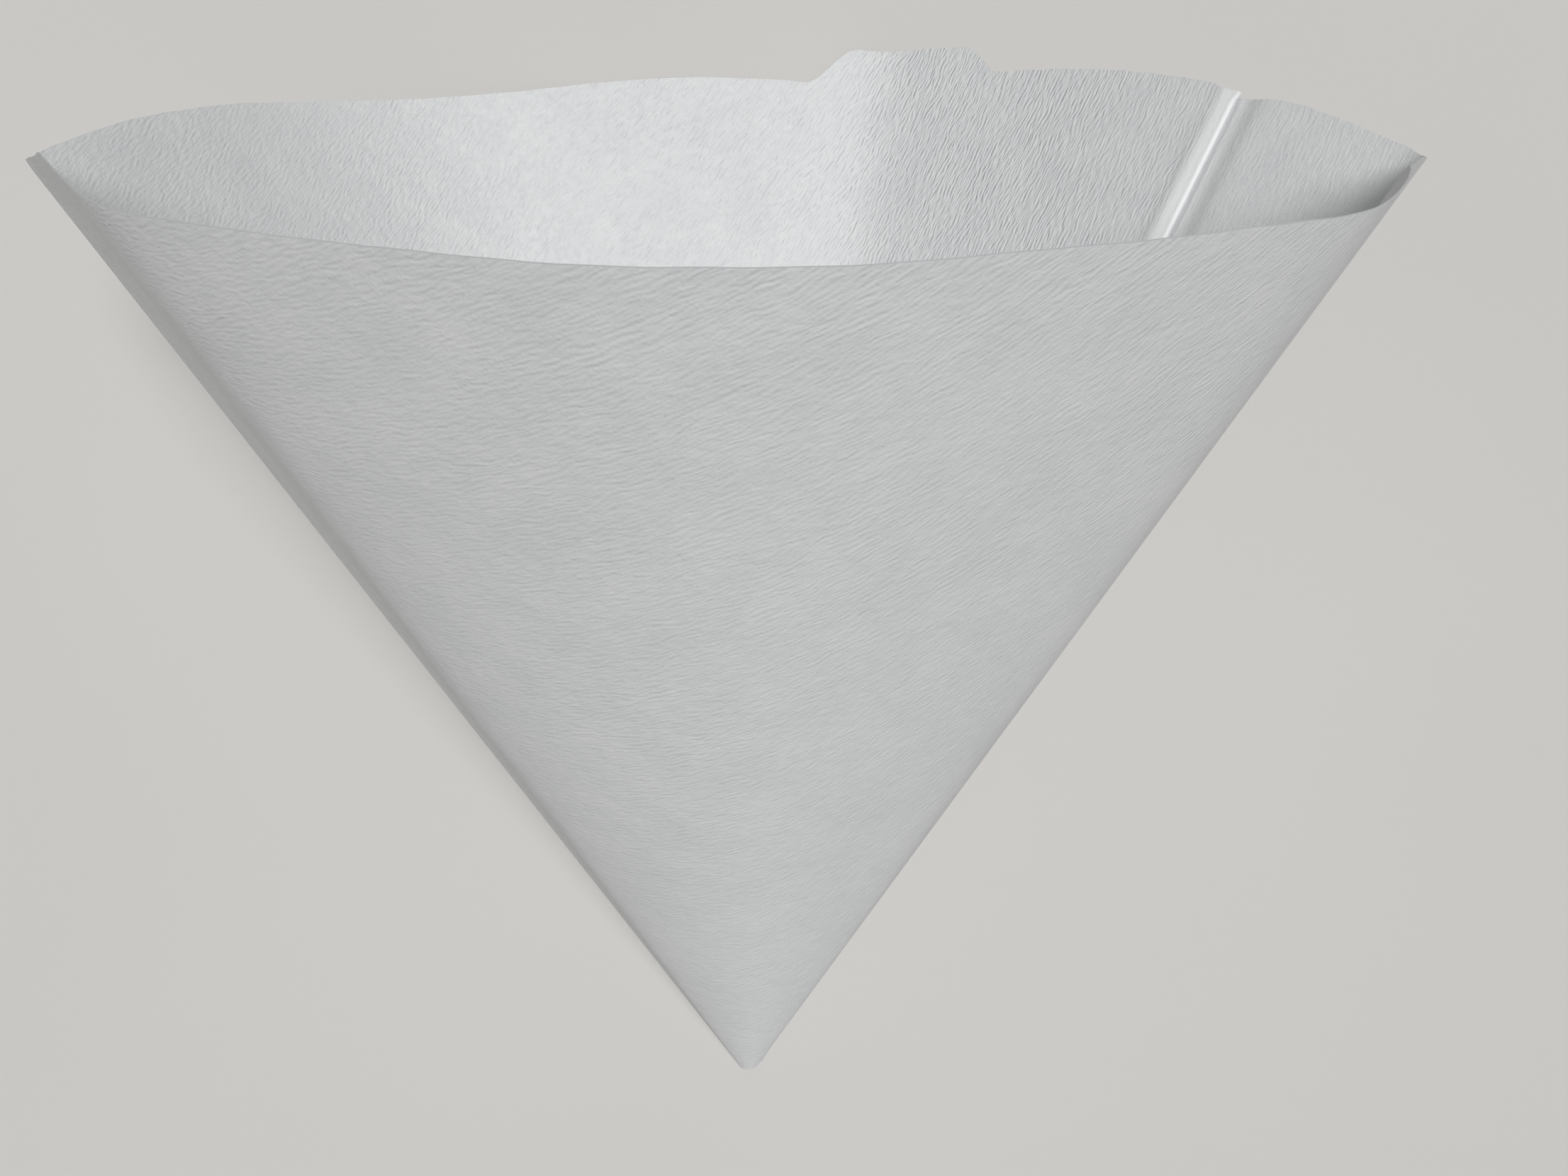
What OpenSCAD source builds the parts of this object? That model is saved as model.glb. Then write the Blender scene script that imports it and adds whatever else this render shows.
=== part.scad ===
// Paper coffee filter: one sheet, folded and crimped along one seam, opened to a cone.
// It lies on its back wall, as it comes to rest on a table. Lengths are millimetres.
// The sheet is worked out as it was cut and creased. A place on it is a pair of numbers:
// the turn from the seam, in degrees of the flat sheet, and the distance from the tip.

/* [Sheet] */
// Distance from the tip to the rim along the paper
sheet_r = 125; // [90:1:170]
// Thickness of the paper
paper_t = 0.22; // [0.15:0.01:0.35]
// Distance from the tip at which the paper stops gathering to a blunt point
tip_r = 2; // [1.5:0.1:4]

/* [Opened cone] */
// Angle between the cone's middle line and each side crease
crease_angle = 31.7; // [31:0.1:35]
// How full the back wall is: 2 is a plain bow, more is squarer
back_fullness = 3.5; // [2.5:0.1:4.5]
// How far the back wall leans towards the seam's side
back_lean = -0.44; // [-0.5:0.02:0]
// Place of the soft bend in the back wall, from -1 at one crease to 1 at the other
back_bend_at = 0.3; // [0.1:0.05:0.5]
// Strength of the soft bend in the back wall
back_bend = 0.73; // [0.4:0.01:0.9]
// How full the front wall is
front_fullness = 1.9; // [1.6:0.1:3]
// How far the front wall leans towards the seam's side
front_lean = -0.13; // [-0.3:0.01:0.1]
// Place of the left soft bend in the front wall
front_left_bend_at = -0.7; // [-0.8:0.05:-0.5]
// Strength of the left soft bend in the front wall
front_left_bend = 0.95; // [0.4:0.05:1.2]
// Place of the right soft bend in the front wall
front_right_bend_at = 0.63; // [0.5:0.01:0.8]
// Strength of the right soft bend in the front wall
front_right_bend = 1; // [0.4:0.05:1.2]
// Width of a soft bend, as a share of half the opening
bend_width = 0.06; // [0.04:0.01:0.12]

/* [Seam] */
// Turn from the sharp crease to the seam
seam_turn = 79; // [74:0.5:82]
// Width of the crimped strip, folded back behind the wall
strip_w = 5; // [3:0.5:8]
// Air between the strip and the wall that it lies behind
strip_gap = 0.2; // [0.12:0.02:0.5]
// How far the rolled fold stands proud inside the cone
fold_bulge = 0.25; // [0.1:0.05:0.5]
// Width over which the fold's bulge and step fade out
fold_fade = 4; // [3:0.5:6]
// How much lower the sheet's covered end is cut
seam_step = 0.8; // [0:0.1:2]
// Spacing of the crimp's ridges
crimp_pitch = 2; // [1.6:0.1:4]
// Height of the crimp's ridges
crimp_h = 0.25; // [0.1:0.05:0.4]

/* [Tab] */
// Turn from the seam to the tab's middle
tab_turn = 22.1; // [18:0.1:23]
// Width of the tab where it leaves the rim
tab_base_w = 28; // [22:0.5:30]
// Width of the tab's straight top
tab_top_w = 15; // [8:0.5:18]
// Height of the tab above the rim
tab_h = 4.5; // [0:0.5:10]

/* [Table] */
// Turn from the seam to the near edge of the stretch that lies flat on the table
flat_from = 28.8; // [28.5:0.1:31]
// Turn from the seam to the far edge of that stretch
flat_to = 39.2; // [37:0.1:42]

/* [Hidden] */

paper_colour = [0.93, 0.92, 0.90];
wall_turn = 90;
sheet_turn = 2 * wall_turn;
half_opening = sin(crease_angle);
strip_stack = 2 * paper_t + strip_gap;

// Fineness: turn of one facet, steps along a wall when its length is worked out, halvings
// when its depth is, half the turn over which a normal is read, and the least useful turn
facet_turn = 1.3;
curve_steps = 240;
halvings = 24;
normal_reach = 0.4;
turn_slack = 0.01;

back_wall = [back_fullness, back_lean, [[back_bend_at, back_bend]]];
front_wall = [
    front_fullness,
    front_lean,
    [[front_left_bend_at, front_left_bend], [front_right_bend_at, front_right_bend]]
];

// Small helpers
function mix(a, b, share) = a + (b - a) * share;
function unit(v) = v / norm(v);
function smooth(x) = let (c = max(0, min(1, x))) c * c * (3 - 2 * c);
function sum(list, i = 0) = i == len(list) - 1 ? list[i] : list[i] + sum(list, i + 1);
function backwards(list) = [for (i = [len(list) - 1:-1:0]) list[i]];
function column(list, axis) = [for (p = list) p[axis]];
function turn_of(length_mm, r) = length_mm / r * 180 / PI;

// The opened cone. Each wall bows from crease to crease, and a direction from the tip
// is a point of that bow, lifted onto the unit sphere, because the rim is everywhere
// the same distance from the tip. u runs from -1 at the sharp crease to 1 at the other.
function hinge(u, at) = sqrt(pow(u - at, 2) + pow(bend_width, 2));
function soft_bend(u, at) = mix(hinge(-1, at), hinge(1, at), (u + 1) / 2) - hinge(u, at);
function bow(u, wall) =
    (1 - pow(abs(u), wall[0])) * (1 + wall[1] * u)
    + sum([for (bend = wall[2]) bend[1] * soft_bend(u, bend[0])]);
function bow_point(u, wall, depth) =
    let (x = half_opening * u, y = depth * bow(u, wall))
    [x, y, sqrt(max(0, 1 - x * x - y * y))];
function bow_curve(wall, depth) =
    [for (i = [0:curve_steps]) bow_point(2 * i / curve_steps - 1, wall, depth)];
function step_turn(a, b) = 2 * asin(norm(b - a) / 2);
function curve_turn(curve) = sum([for (i = [1:curve_steps]) step_turn(curve[i - 1], curve[i])]);

// Paper doesn't stretch, so each wall is made as deep as gives it a quarter turn of sheet
function wall_depth(wall, low = 0.05, high = 0.6, tries = halvings) =
    let (middle = (low + high) / 2)
    tries == 0 ? middle
    : curve_turn(bow_curve(wall, middle)) > wall_turn
    ? wall_depth(wall, low, middle, tries - 1)
    : wall_depth(wall, middle, high, tries - 1);
back_depth = wall_depth(back_wall);
front_depth = wall_depth(front_wall);

// Pairs of turn and u along a wall, for looking up the place of any turn
function turn_table(curve) =
    [for (i = 0, turn = 0;
        i <= curve_steps;
        turn = turn + (i < curve_steps ? step_turn(curve[i], curve[i + 1]) : 0), i = i + 1)
        [turn, 2 * i / curve_steps - 1]];
back_table = turn_table(bow_curve(back_wall, back_depth));
front_table = turn_table(bow_curve(front_wall, front_depth));

// Direction from the tip, at a turn from the seam. X is across, Y to the back, Z up the cone.
function from_crease(turn) =
    let (t = seam_turn - turn) t - sheet_turn * floor(t / sheet_turn);
function direction(turn) =
    let (t = from_crease(turn))
    t <= wall_turn ? bow_point(lookup(t, back_table), back_wall, back_depth)
    : let (p = bow_point(lookup(sheet_turn - t, front_table), front_wall, front_depth))
    [p.x, -p.y, p.z];

// The stretch that lies on the table is plane: its two edges share one outward normal
flat_near = direction(flat_from);
flat_far = direction(flat_to);
flat_normal = unit(cross(flat_far - flat_near, flat_near));
function on_flat(turn) = turn > flat_from - turn_slack && turn < flat_to + turn_slack;
function outward(turn) =
    on_flat(turn) ? flat_normal
    : let (ahead = direction(turn + normal_reach), behind = direction(turn - normal_reach))
    unit(cross(ahead - behind, direction(turn)));

// Laying the cone down turns that normal straight down. Where the outermost layer would dip
// below the table, all the layers there are pressed up together.
lie_y = unit(flat_near + flat_far);
lie_x = cross(lie_y, -flat_normal);
function lay_down(foot, normal, height, stack) =
    let (
        p = foot + height * normal,
        lowest = paper_t - flat_normal * (foot + (stack + paper_t) * normal)
    )
    [lie_x * p, lie_y * p, max(0, paper_t - flat_normal * p - min(0, lowest))];

// The rim: a circle about the tip, with the tab's S-shaped shoulders and the step at the seam
tab_half_base = turn_of(tab_base_w / 2, sheet_r);
tab_half_top = turn_of(tab_top_w / 2, sheet_r);
function tab_rise(turn) =
    tab_h * smooth((tab_half_base - abs(turn - tab_turn)) / (tab_half_base - tab_half_top));
function rim_r(turn) =
    sheet_r + tab_rise(turn)
    - seam_step * smooth(1 - (sheet_turn - turn) / turn_of(2 * fold_fade, sheet_r));

// Levels from the tip to the rim, where the ruled walls are cut into facets. They are closer
// towards the tip, because the strip's straight edge crosses the walls' lines there.
level_share = [0.064, 0.11, 0.16, 0.22, 0.3, 0.4, 0.54, 0.74];
first_level = 1.5;
plug_t = 1.2;
level_r = concat([tip_r, tip_r + first_level], [for (share = level_share) share * sheet_r]);
top_level = len(level_r);
floor_r = tip_r + plug_t;
function r_at(level, turn) =
    let (low = floor(level), share = level - low)
    let (a = low < top_level ? level_r[low] : rim_r(turn))
    share == 0 ? a : mix(a, low + 1 < top_level ? level_r[low + 1] : rim_r(turn), share);

// A station is a line of the sheet from the tip to the rim: [turn, share of the millimetres
// beside it, those millimetres, height of the paper's inner face above the cone, room].
// The millimetres are squeezed near the tip, so that they never take more turn than the room.
free_share = 0.8;
fold_room = free_share * min(wall_turn - seam_turn, tab_turn - tab_half_base);
strip_room = 14;
function squeeze(mm, r, room) =
    let (full = turn_of(abs(mm), r)) sign(mm) * room * (1 - exp(-full / room));
function beside(turn, mm, height, share = 1) = [turn, share, mm, height, fold_room];

// Height of the layers below the wall, which fades out beside the seam and the strip
stack_fade = 10;
function stack_at(turn, r) =
    let (
        t = turn > wall_turn ? turn - sheet_turn : turn,
        beyond = max(0, -t, t - squeeze(strip_w, r, strip_room))
    )
    strip_stack * smooth(1 - beyond / stack_fade);

// The place of a station's point on the wall, above the inner face by "above"
function station_turn(s, r) = s[0] + s[1] * squeeze(s[2], r, s[4]);
function sheet_point(s, r, above) =
    let (turn = station_turn(s, r))
    lay_down(r * direction(turn), outward(turn), s[3] + above, stack_at(turn, r));
function station_point(s, level, above) =
    let (rough = station_turn(s, r_at(level, s[0])))
    sheet_point(s, r_at(level, rough), above);

// Stations round the wall, from the fold to the covered end
fold_at = 0.5;
fold_steps = [for (share = [0, 0.17, 0.43, 0.71, 1]) mix(fold_at, fold_fade, share)];
function left_height(w) = -fold_bulge * pow(1 - smooth((w - fold_at) / fold_fade), 2);
function right_height(w) = strip_stack * (1 - smooth((w - fold_at) / fold_fade));
function evenly(a, b) =
    let (n = max(1, ceil((b - a) / facet_turn - turn_slack)))
    [for (i = [1:n]) mix(a, b, i / n)];
tab_near = tab_turn - tab_half_base;
tab_far = tab_turn + tab_half_base;
tab_shoulder = tab_half_base - tab_half_top;
near_share = [0.25, 0.5, 0.75, 1];
shoulder_steps = 8;
shoulder_share = [for (i = [1:shoulder_steps]) i / shoulder_steps];
side_crease = seam_turn + wall_turn;
wall_turns = concat(
    [for (f = shoulder_share) tab_near + tab_shoulder * f],
    evenly(tab_near + tab_shoulder, tab_far - tab_shoulder),
    [for (f = shoulder_share) mix(tab_far - tab_shoulder, min(tab_far, flat_from), f)],
    tab_far < flat_from - turn_slack ? [flat_from] : [],
    [flat_to],
    evenly(flat_to, seam_turn),
    evenly(seam_turn, side_crease)
);
wall_stations = concat(
    [for (w = fold_steps) beside(0, w, left_height(w))],
    [for (f = near_share) beside(tab_near * f, fold_fade, 0, 1 - f)],
    [for (turn = wall_turns) beside(turn, 0, 0)],
    [for (f = near_share) if (f < 1) beside(mix(side_crease, sheet_turn, f), -fold_fade, 0, f)],
    [for (w = backwards(fold_steps)) beside(sheet_turn, -w, right_height(w))],
    [beside(sheet_turn, fold_at, strip_stack)]
);

// The rolled fold and the slot inside it: two arcs from the wall to the strip
arc_steps = 4;
fold_radius = (strip_stack + fold_bulge) / 2;
slot_radius = (strip_gap + fold_bulge) / 2;
function arc_station(i, radius, base) =
    let (a = 180 * i / arc_steps)
    beside(0, fold_at - radius * sin(a), base + radius * (1 - cos(a)));
fold_stations = [for (i = [arc_steps - 1:-1:1]) arc_station(i, fold_radius, -fold_bulge)];
slot_stations = [for (i = [arc_steps:-1:1]) arc_station(i, slot_radius, -fold_bulge)];

// The crimped strip: its face against the wall is plain, and its outer face is ridged
strip_under_share = [1, 0.75, 0.5, 0.25];
ridge_low = 0.32;
ridge_high = 0.78;
strip_over_share = [0.1, 0.22, ridge_low, ridge_high, 0.88, 1];
function strip_station(turn, f, height) =
    [turn, 1, mix(fold_at, strip_w, f), height, mix(fold_room, strip_room, f)];
strip_under = [for (f = strip_under_share) strip_station(0, f, strip_gap)];
strip_over = [for (f = strip_over_share) strip_station(sheet_turn, f, strip_stack)];
function is_ridged(share) = share >= ridge_low && share <= ridge_high;

// Rows of the ridged face: above the crimp's first level, each level is cut again at half the
// crimp's pitch, and every other row stands up as a ridge
crimp_level = 2;
function rows_in(level) =
    level < crimp_level ? 1
    : round((r_at(level + 1, 0) - r_at(level, 0)) / (crimp_pitch / 2));
fine_levels = concat(
    [for (level = [0:top_level - 1]) for (i = [0:rows_in(level) - 1])
        level + i / rows_in(level)],
    [top_level]
);
function is_ridge_row(i) = i % 2 == 1 && fine_levels[i] > crimp_level;
levels = [for (level = [0:top_level]) level];

// Points, family by family, each kept as rows of point numbers
outer_stations = concat(strip_under, slot_stations, wall_stations);
inner_stations = concat(wall_stations, fold_stations);
outer_rows = [for (level = [0:top_level])
    [for (s = outer_stations) station_point(s, level, paper_t)]];
inner_rows = [for (level = [0:top_level])
    [for (s = inner_stations)
        level == 0 ? sheet_point(s, floor_r, 0) : station_point(s, level, 0)]];
base_row = [for (s = inner_stations) sheet_point(s, tip_r, 0)];
ridge_rows = [for (i = [0:len(fine_levels) - 1])
    [for (c = [0:len(strip_over) - 1])
        let (ridge = is_ridged(strip_over_share[c]) && is_ridge_row(i) ? crimp_h : 0)
        station_point(strip_over[c], fine_levels[i], paper_t + ridge)]];

outer_n = len(outer_stations);
inner_n = len(inner_stations);
ridge_n = len(strip_over);
fine_n = len(fine_levels);
wall_n = len(wall_stations);
under_n = len(strip_under);
inner_from = outer_n * (top_level + 1);
base_from = inner_from + inner_n * (top_level + 1);
ridge_from = base_from + inner_n;
floor_centre = ridge_from + ridge_n * fine_n;
base_centre = floor_centre + 1;

function outer_id(row, i) = row * outer_n + i;
function inner_id(row, i) = inner_from + row * inner_n + i;
function ridge_id(row, i) = ridge_from + row * ridge_n + i;

// The centres of the blunt tip, inside and outside, on the cone's middle line
function mean(list) = sum(list) / len(list);
tip_points = [mean(inner_rows[0]), mean(base_row)];
points_lying = [
    for (row = outer_rows) each row,
    for (row = inner_rows) each row,
    each base_row,
    for (row = ridge_rows) each row,
    each tip_points
];

// The origin is under the middle of the part's box
function middle(axis) =
    let (values = column(points_lying, axis)) (min(values) + max(values)) / 2;
shift = [middle(0), middle(1), 0];
sheet_points = [for (p = points_lying) p - shift];

// Triangles between two lines of points that may have different counts. Each line comes
// with its places, which rise along it, and the line that is behind takes the next step.
function zip_by(a, place_a, b, place_b, i = 0, j = 0) =
    let (last_a = len(a) - 1, last_b = len(b) - 1)
    i == last_a && j == last_b ? []
    : j == last_b || (i < last_a && place_a[i + 1] <= place_b[j + 1])
    ? concat([[a[i], b[j], a[i + 1]]], zip_by(a, place_a, b, place_b, i + 1, j))
    : concat([[a[i], b[j], b[j + 1]]], zip_by(a, place_a, b, place_b, i, j + 1));
function even_places(line) = [for (i = [0:len(line) - 1]) i / (len(line) - 1)];
function zip(a, b) = zip_by(a, even_places(a), b, even_places(b));
function closed(list) = concat(list, [list[0]]);
function fan(centre, line) = [for (i = [1:len(line) - 1]) [centre, line[i], line[i - 1]]];

// A cap over an inner row. The covered end and the first steps of the fold lie behind the
// fold as seen from the middle, so the cap closes that pocket from the last point before it.
hidden_end = wall_n + arc_steps / 2;
function cap(centre, line) =
    let (
        pocket = [for (i = [wall_n - 1:hidden_end - 1]) line[i]],
        seen = concat(
            [for (i = [hidden_end - 1:inner_n - 1]) line[i]],
            [for (i = [0:wall_n - 2]) line[i]],
            [line[hidden_end - 1]]
        )
    )
    concat(fan(centre, seen), fan(line[wall_n - 2], pocket));
function flipped(faces) = [for (f = faces) [f[2], f[1], f[0]]];

function outer_line(row) = [for (i = [0:outer_n - 1]) outer_id(row, i)];
function inner_line(row) = [for (i = [0:inner_n - 1]) inner_id(row, i)];
function outer_column(i) = [for (row = [0:top_level]) outer_id(row, i)];
function ridge_line(row) = [for (c = [0:ridge_n - 1]) ridge_id(row, c)];
function ridge_column(c) = [for (row = [0:fine_n - 1]) ridge_id(row, c)];
base_line = [for (i = [0:inner_n - 1]) base_from + i];

// The cut edge of the paper, between an outer row and the inner row under it
function edge_faces(outer, inner, ridge) =
    let (
        wall_end = inner[wall_n - 1],
        fold_line = [for (i = [wall_n - 1:inner_n - 1]) inner[i]],
        inner_path = concat(fold_line, [for (i = [0:wall_n - 1]) inner[i]]),
        outer_path = [for (i = [under_n:outer_n - 1]) outer[i]],
        under_path = [for (i = [under_n:-1:0]) outer[i]]
    )
    concat(
        zip(outer_path, inner_path),
        [[outer[under_n], ridge[0], wall_end], [wall_end, ridge[0], outer[outer_n - 1]]],
        zip(ridge, under_path)
    );

sheet_faces = concat(
    [for (row = [0:top_level - 1]) each zip(outer_line(row), outer_line(row + 1))],
    zip_by(ridge_column(0), fine_levels, outer_column(outer_n - 1), levels),
    [for (c = [0:ridge_n - 2]) each zip(ridge_column(c + 1), ridge_column(c))],
    zip_by(outer_column(0), levels, ridge_column(ridge_n - 1), fine_levels),
    [for (row = [0:top_level - 1])
        each zip(closed(inner_line(row + 1)), closed(inner_line(row)))],
    cap(floor_centre, inner_line(0)),
    edge_faces(outer_line(top_level), inner_line(top_level), ridge_line(fine_n - 1)),
    flipped(edge_faces(outer_line(0), base_line, ridge_line(0))),
    flipped(cap(base_centre, base_line))
);

module paper_filter() {
    color(paper_colour)
        polyhedron(points = sheet_points, faces = sheet_faces);
}

paper_filter();
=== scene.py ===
"""Paper coffee filter: one creped sheet, seamed to a cone, opened by hand and lying on a table.

The sheet is worked out as it was cut. A place on it is a pair of numbers: the turn from the
seam, in degrees of the flat sheet, and the distance from the tip, in millimetres. The cone
bends that flat sheet without stretching it, so the rim is everywhere as far from the tip.
The same sizes and formulas as in the CAD model are used here on a finer grid. The details that
the solid leaves out are added: the seam's soft roll, fine crimp lines, dents and a worn rim.
"""

import logging
import math
from dataclasses import dataclass, field
from enum import IntEnum
from typing import NamedTuple

import bpy
import numpy as np
from mathutils import Matrix, Vector

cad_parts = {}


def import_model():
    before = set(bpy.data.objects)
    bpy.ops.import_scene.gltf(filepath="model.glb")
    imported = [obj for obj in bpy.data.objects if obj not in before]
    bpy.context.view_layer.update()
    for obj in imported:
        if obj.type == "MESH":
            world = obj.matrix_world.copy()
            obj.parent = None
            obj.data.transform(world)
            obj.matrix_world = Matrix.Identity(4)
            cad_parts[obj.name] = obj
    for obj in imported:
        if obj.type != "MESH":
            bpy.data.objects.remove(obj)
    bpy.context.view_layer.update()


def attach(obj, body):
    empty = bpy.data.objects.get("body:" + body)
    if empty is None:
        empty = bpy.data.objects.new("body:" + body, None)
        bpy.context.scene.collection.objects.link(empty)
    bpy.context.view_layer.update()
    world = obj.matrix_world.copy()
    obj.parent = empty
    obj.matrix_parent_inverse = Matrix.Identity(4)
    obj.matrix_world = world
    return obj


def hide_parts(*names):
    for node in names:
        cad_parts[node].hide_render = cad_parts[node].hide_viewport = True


LOG = logging.getLogger("paper_filter_scene")
MM = 0.001
UV_NAME = "flat_sheet"
UV_SPAN = 300.0
UV_ORIGIN = (0.5, 0.1)

Array = np.ndarray
Socket = bpy.types.NodeSocket
Fed = Socket | float | tuple[float, ...]


def smooth(x: Array | float) -> Array:
    """Eases from 0 to 1.

    Args:
        x: The value, of which the part from 0 to 1 counts.

    Returns:
        0 below 0, 1 above 1, and an S-shaped rise between them.
    """
    c = np.clip(x, 0.0, 1.0)
    return c * c * (3.0 - 2.0 * c)


def mix(a: Array | float, b: Array | float, share: Array | float) -> Array | float:
    """Returns the value that lies the given share of the way from a to b."""
    return a + (b - a) * share


def unit(vectors: Array) -> Array:
    """Returns the vectors, along the last axis, with length 1."""
    return vectors / np.linalg.norm(vectors, axis=-1, keepdims=True)


def turn_of(length: Array | float, radius: Array | float) -> Array | float:
    """Returns the turn, in degrees, that a length takes at a distance from the tip."""
    return np.degrees(length / radius)


@dataclass(frozen=True)
class SheetSizes:
    """Sizes of the sheet, in millimetres and in degrees of the flat sheet, as in the CAD model."""

    radius: float = 125.0
    thickness: float = 0.22
    tip_r: float = 2.0
    plug: float = 1.2
    seam_turn: float = 79.0
    wall_turn: float = 90.0
    strip_w: float = 5.0
    strip_gap: float = 0.2
    strip_room: float = 14.0
    stack_fade: float = 10.0
    fold_at: float = 0.5
    fold_fade: float = 4.0
    seam_step: float = 0.8
    crimp_pitch: float = 2.0
    crimp_h: float = 0.25
    tab_turn: float = 22.1
    tab_base_w: float = 28.0
    tab_top_w: float = 15.0
    tab_h: float = 4.5
    flat_from: float = 28.8
    flat_to: float = 39.2

    @property
    def sheet_turn(self) -> float:
        """The whole sheet's turn: two walls."""
        return 2 * self.wall_turn

    @property
    def strip_stack(self) -> float:
        """Height of the two layers and the air that the folded strip adds behind the wall."""
        return 2 * self.thickness + self.strip_gap

    @property
    def tab_half_base(self) -> float:
        """Half the turn that the tab takes at the rim."""
        return float(turn_of(self.tab_base_w / 2, self.radius))

    @property
    def tab_half_top(self) -> float:
        """Half the turn that the tab's straight top takes."""
        return float(turn_of(self.tab_top_w / 2, self.radius))

    @property
    def fold_room(self) -> float:
        """The most turn that the fold and its fading may take near the tip."""
        return 0.8 * min(self.wall_turn - self.seam_turn, self.tab_turn - self.tab_half_base)


@dataclass(frozen=True)
class SheetDetails:
    """Sizes of the grid and of what only the scene shows, in millimetres unless said otherwise.

    Attributes:
        facet: The most turn, in degrees, between two columns of the wall.
        finer: Share of that turn in each span between the wall's knots.
        before_blunt: Turns, in degrees, of the knots before the blunt crease.
        row_step: Distance of the rows, which is half the crimp's pitch.
        arc_steps: Facets round the rolled fold.
        strip_steps: Facets across the folded strip.
        fade_steps: Facets of the fade beside the fold.
        fade_power: How strongly they gather at the fold.
        beside_steps: Facets between the fade and the next knot.
        under_fold: Places of the covered end's columns under the fold.
        crest_at: Distance of the roll's crest from the roll's edge.
        crest_h: Height of the crest at the rim.
        crest_flank: Width of the crest's flank.
        crest_growth: Share by which the crest is higher below the rim.
        crest_reach: Distance from the rim within which it grows.
        roll_edge: Height of the roll at its edge.
        tab_tilt: Share of the tab's height by which its top leans.
        ear: Width of the ear turned over at the seam's end.
        ear_h: Its height.
        ear_reach: How far from the fold it is felt.
        seam_dip: The rim's dip at the seam: its depth, and its end and fade in degrees.
        worn: The rim's worn places: the middle in degrees, the depth, the reach in degrees.
        corner_bump: The rim's bump past the blunt crease: height, place and reach in degrees.
        rags: Waves of the cut rim: height, radians for each degree, and phase.
        edge_w: Width of the rim that is pressed thinner.
        edge_share: Share of the thickness that is left there.
        ridge_band: Places across the strip, from 0 to 1, between which the ridges lie.
        ridge_fade: Share of the strip in which they fade.
        ridge_from: Distance from the tip at which they start.
        ridge_rise: Distance in which they reach their full height.
        free_level: Height above the table from which dents show.
        free_rise: Height in which they reach their full depth.
        calm_turn: Turn beside the seam, in degrees, that stays free of dents.
        calm_rise: Turn, in degrees, in which they reach their full depth.
    """

    facet: float = 0.6
    finer: tuple[float, ...] = (0.5, 1.0, 0.5, 1.0, 1.0, 1.0, 0.4, 0.4, 1.0, 0.4, 0.3)
    before_blunt: tuple[float, ...] = (1.5, 0.8, 0.0)
    row_step: float = 1.0
    arc_steps: int = 8
    strip_steps: int = 12
    fade_steps: int = 14
    fade_power: float = 1.3
    beside_steps: int = 15
    under_fold: tuple[float, ...] = (-0.2, 0.15)
    crest_at: float = 1.2
    crest_h: float = 0.13
    crest_flank: float = 2.4
    crest_growth: float = 0.5
    crest_reach: float = 15.0
    roll_edge: float = 0.03
    tab_tilt: float = 0.15
    ear: float = 0.55
    ear_h: float = 1.4
    ear_reach: float = 0.7
    seam_dip: tuple[float, float, float] = (0.35, 1.75, 0.8)
    worn: tuple[tuple[float, float, float], ...] = ((84.5, 0.8, 8.0), (159.0, 2.2, 12.0))
    corner_bump: tuple[float, float, float] = (0.15, 1.2, 0.35)
    rags: tuple[tuple[float, float, float], ...] = ((0.03, 9.7, 0.0), (0.025, 23.3, 1.0))
    edge_w: float = 0.9
    edge_share: float = 0.6
    ridge_band: tuple[float, float] = (0.2, 0.9)
    ridge_fade: float = 0.14
    ridge_from: float = 14.0
    ridge_rise: float = 6.0
    free_level: float = 0.4
    free_rise: float = 6.0
    calm_turn: float = 3.0
    calm_rise: float = 7.0


@dataclass(frozen=True)
class Wall:
    """One wall's bow from crease to crease. u runs from -1 at the sharp crease to 1."""

    fullness: float
    lean: float
    bends: tuple[tuple[float, float], ...]
    side: int
    half_opening: float = math.sin(math.radians(31.7))
    bend_width: float = 0.06

    def bow(self, u: Array) -> Array:
        """Works out the bow: a full arch that leans, less the folds at its bends.

        Args:
            u: Places along the wall, from -1 to 1.

        Returns:
            How far the wall bows out at each place, for a depth of 1.
        """
        height = (1 - np.abs(u) ** self.fullness) * (1 + self.lean * u)
        for at, strength in self.bends:
            hinge = np.hypot(u - at, self.bend_width)
            ends = [math.hypot(end - at, self.bend_width) for end in (-1, 1)]
            height = height + strength * (mix(ends[0], ends[1], (u + 1) / 2) - hinge)
        return height

    def points(self, u: Array, depth: float) -> Array:
        """Lifts the bow onto the unit sphere.

        Args:
            u: Places along the wall, from -1 to 1.
            depth: The wall's depth.

        Returns:
            The directions from the tip, one row for each place.
        """
        x = self.half_opening * u
        y = depth * self.bow(u)
        z = np.sqrt(np.maximum(0.0, 1 - x * x - y * y))
        return np.stack([x, self.side * y, z], axis=-1)


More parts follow.
